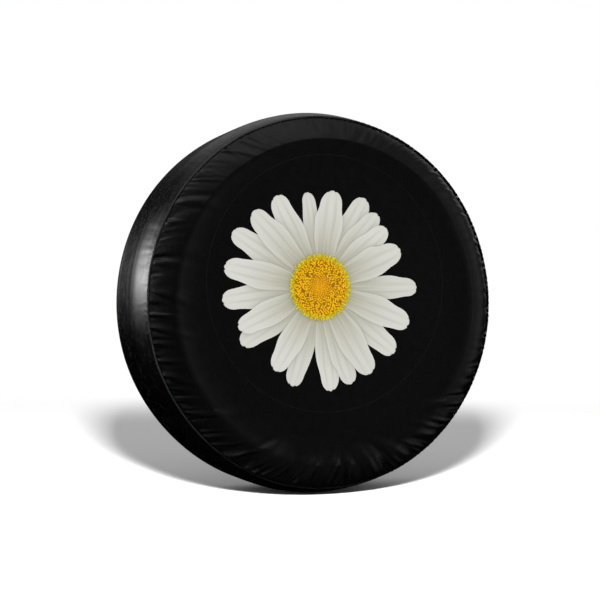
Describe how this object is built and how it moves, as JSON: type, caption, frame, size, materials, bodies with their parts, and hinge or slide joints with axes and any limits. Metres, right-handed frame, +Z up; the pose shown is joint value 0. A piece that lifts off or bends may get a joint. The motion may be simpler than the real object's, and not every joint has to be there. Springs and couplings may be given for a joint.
{
  "type": "spare tire cover",
  "caption": "Round black sewn cover for a spare wheel: printed flower face, tread band, gathered back with an elastic hem and a cord lock.",
  "frame": {"origin": "centre of the tyre that fills the cover, on the wheel's axis", "axes": "+Y along the wheel's axis, out of the open back; the printed face looks to -Y; +Z up"},
  "size_m": [0.7359, 0.254, 0.736],
  "materials": {
    "face_cloth": "smooth coated polyester, satin",
    "band_cloth": "smooth coated polyester, satin",
    "back_cloth": "coated polyester, satin, gathered",
    "white_ink": "printed ink, satin",
    "yellow_ink": "printed ink, satin",
    "piping": "coated cloth round a cord",
    "tape": "woven binding tape",
    "thread": "bonded polyester thread",
    "elastic": "braided cover over rubber strands",
    "label": "woven satin ribbon, blank",
    "eyelet_metal": "blackened nickel",
    "spring_steel": "bright wire",
    "lock_plastic": "moulded acetal"
  },
  "bodies": {
    "cover": {"face_panel": "face_cloth", "petal_print": "white_ink", "disc_print": "yellow_ink", "tread_band": "band_cloth", "band_join": "band_cloth", "back_panel": "back_cloth", "seam_piping": "piping", "face_seam_tape": "tape", "back_seam_tape": "tape", "seam_topstitch": "thread", "back_topstitch": "thread", "hem_casing": "back_cloth", "hem_topstitch": "thread", "hem_elastic": "elastic", "eyelet_patch": "tape", "eyelets": "eyelet_metal", "sewn_label": "label"},
    "cord_lock": {"lock_body": "lock_plastic", "lock_cords": "elastic", "lock_spring": "spring_steel", "cord_end_caps": "lock_plastic"},
    "button": {"lock_button": "lock_plastic"}
  },
  "joints": [
    {"name": "lock_swing", "type": "hinge", "parent": "cover", "child": "cord_lock", "pos_m": [0, 0.1239, -0.225], "axis": [1, 0, 0], "range_deg": [0, 90]},
    {"name": "lock_press", "type": "slide", "parent": "cord_lock", "child": "button", "axis": [-1, 0, 0], "range_m": [0, 0.0035], "stiffness_N_per_m": 400, "springref_m": -0.004, "deforming": ["lock_spring"]}
  ]
}
